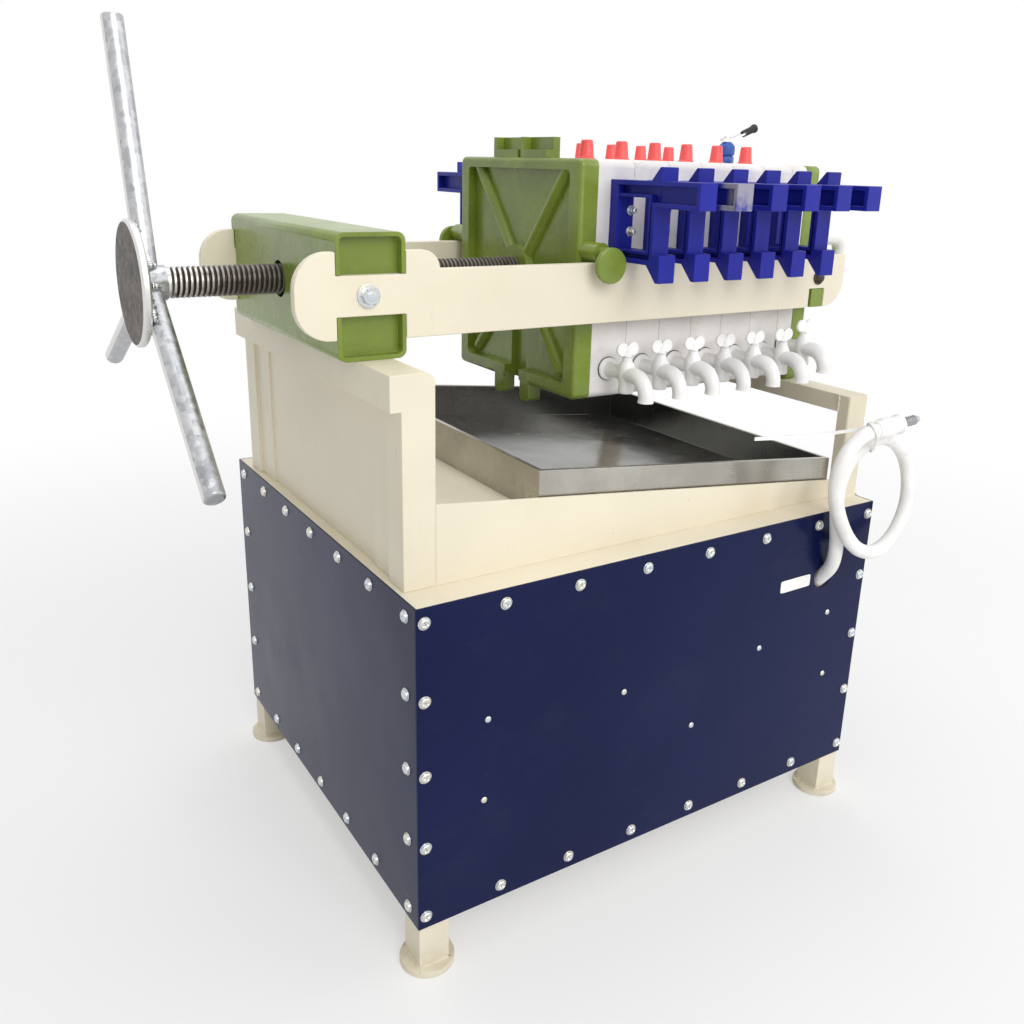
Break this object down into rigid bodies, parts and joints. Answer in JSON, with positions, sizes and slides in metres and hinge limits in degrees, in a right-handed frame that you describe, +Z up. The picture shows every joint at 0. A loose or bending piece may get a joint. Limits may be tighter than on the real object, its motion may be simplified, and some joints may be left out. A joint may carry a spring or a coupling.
{
  "type": "plate filter press",
  "caption": "Hand-closed plate filter press on a closed sheet-metal stand, with taps over a sloping drip tray.",
  "frame": {"origin": "on the floor under the middle of the machine's bounding box, measured without the loose hose", "axes": "+X along the screw from the hand rods to the inlet end, +Y from the front cover to the back, +Z up"},
  "size_m": [1.013, 0.6954, 1.0896],
  "materials": {
    "cream_paint": "brushed-on enamel, slightly worn",
    "navy_paint": "glossy enamel",
    "green_paint": "glossy enamel over a casting",
    "stainless": "cold rolled sheet, brushed",
    "zinc_rods": "galvanised",
    "screw_steel": "greased",
    "bright_metal": "plated",
    "plate_plastic": "moulded, matte",
    "handle_plastic": "moulded, glossy",
    "cap_plastic": "moulded, glossy",
    "white_fittings": "moulded, glossy",
    "valve_blue": "moulded",
    "hose_wall": "smooth",
    "hose_fitting": "moulded, with a metal barb",
    "tie_nylon": "moulded"
  },
  "bodies": {
    "stand": {"base_frame": "cream_paint", "cover_front": "navy_paint", "cover_back": "navy_paint", "cover_ends": "navy_paint", "drip_deck": "cream_paint", "end_wall": "cream_paint", "portal": "cream_paint", "drip_tray": "stainless", "crosshead": "green_paint", "rails": "cream_paint", "fixed_head": "green_paint", "end_plate": "plate_plastic", "tap_7": "white_fittings", "inlet": "white_fittings", "valve_body": "valve_blue", "hose": "hose_wall", "hose_end": "hose_fitting", "cable_tie": "tie_nylon"},
    "head": {"moving_head": "green_paint"},
    "screw": {"screw": "screw_steel", "hand_rods": "zinc_rods"},
    "plate_1": {"plate_1": "plate_plastic", "caps_1": "cap_plastic", "handles_1": "handle_plastic", "tap_1": "white_fittings"},
    "plate_2": {"plate_2": "plate_plastic", "caps_2": "cap_plastic", "handles_2": "handle_plastic", "tap_2": "white_fittings"},
    "plate_3": {"plate_3": "plate_plastic", "caps_3": "cap_plastic", "handles_3": "handle_plastic", "tap_3": "white_fittings"},
    "plate_4": {"plate_4": "plate_plastic", "caps_4": "cap_plastic", "handles_4": "handle_plastic", "tap_4": "white_fittings"},
    "plate_5": {"plate_5": "plate_plastic", "caps_5": "cap_plastic", "handles_5": "handle_plastic", "tap_5": "white_fittings"},
    "plate_6": {"plate_6": "plate_plastic", "caps_6": "cap_plastic", "handles_6": "handle_plastic", "tap_6": "white_fittings"},
    "key_1": {"tap_key_1": "white_fittings"},
    "key_2": {"tap_key_2": "white_fittings"},
    "key_3": {"tap_key_3": "white_fittings"},
    "key_4": {"tap_key_4": "white_fittings"},
    "key_5": {"tap_key_5": "white_fittings"},
    "key_6": {"tap_key_6": "white_fittings"},
    "key_7": {"tap_key_7": "white_fittings"},
    "lever": {"valve_lever": "bright_metal"}
  },
  "joints": [
    {"name": "head_slide", "type": "slide", "parent": "stand", "child": "head", "axis": [-1, 0, 0], "range_m": [0, 0.2001]},
    {"name": "screw_turn", "type": "hinge", "parent": "head", "child": "screw", "pos_m": [-0.3095, 0, 0.803], "axis": [-1, 0, 0], "range_deg": [0, 9000]},
    {"name": "plate_slide_1", "type": "slide", "parent": "stand", "child": "plate_1", "axis": [-1, 0, 0], "range_m": [0, 0.17153]},
    {"name": "plate_slide_2", "type": "slide", "parent": "stand", "child": "plate_2", "axis": [-1, 0, 0], "range_m": [0, 0.14296]},
    {"name": "plate_slide_3", "type": "slide", "parent": "stand", "child": "plate_3", "axis": [-1, 0, 0], "range_m": [0, 0.11439]},
    {"name": "plate_slide_4", "type": "slide", "parent": "stand", "child": "plate_4", "axis": [-1, 0, 0], "range_m": [0, 0.08581]},
    {"name": "plate_slide_5", "type": "slide", "parent": "stand", "child": "plate_5", "axis": [-1, 0, 0], "range_m": [0, 0.05724]},
    {"name": "plate_slide_6", "type": "slide", "parent": "stand", "child": "plate_6", "axis": [-1, 0, 0], "range_m": [0, 0.02867]},
    {"name": "tap_turn_1", "type": "hinge", "parent": "plate_1", "child": "key_1", "pos_m": [0.05387, -0.194, 0.709], "axis": [0, 0, 1], "range_deg": [0, 90]},
    {"name": "tap_turn_2", "type": "hinge", "parent": "plate_2", "child": "key_2", "pos_m": [0.11073, -0.194, 0.709], "axis": [0, 0, 1], "range_deg": [0, 90]},
    {"name": "tap_turn_3", "type": "hinge", "parent": "plate_3", "child": "key_3", "pos_m": [0.16758, -0.194, 0.709], "axis": [0, 0, 1], "range_deg": [0, 90]},
    {"name": "tap_turn_4", "type": "hinge", "parent": "plate_4", "child": "key_4", "pos_m": [0.22443, -0.194, 0.709], "axis": [0, 0, 1], "range_deg": [0, 90]},
    {"name": "tap_turn_5", "type": "hinge", "parent": "plate_5", "child": "key_5", "pos_m": [0.28127, -0.194, 0.709], "axis": [0, 0, 1], "range_deg": [0, 90]},
    {"name": "tap_turn_6", "type": "hinge", "parent": "plate_6", "child": "key_6", "pos_m": [0.33813, -0.194, 0.709], "axis": [0, 0, 1], "range_deg": [0, 90]},
    {"name": "tap_turn_7", "type": "hinge", "parent": "stand", "child": "key_7", "pos_m": [0.3821, -0.194, 0.719], "axis": [0, 0, 1], "range_deg": [0, 90]},
    {"name": "valve_turn", "type": "hinge", "parent": "stand", "child": "lever", "pos_m": [0.4105, 0.031, 0.986], "axis": [0, 0, 1], "range_deg": [0, 90]}
  ],
  "couplings": [
    {"joint": "head_slide", "follows": "screw_turn", "m_per_rad": 0.0012732},
    {"joint": "plate_slide_1", "follows": "screw_turn", "m_per_rad": 0.0010913},
    {"joint": "plate_slide_2", "follows": "screw_turn", "m_per_rad": 0.00090946},
    {"joint": "plate_slide_3", "follows": "screw_turn", "m_per_rad": 0.00072757},
    {"joint": "plate_slide_4", "follows": "screw_turn", "m_per_rad": 0.00054567},
    {"joint": "plate_slide_5", "follows": "screw_turn", "m_per_rad": 0.00036378},
    {"joint": "plate_slide_6", "follows": "screw_turn", "m_per_rad": 0.00018189}
  ]
}
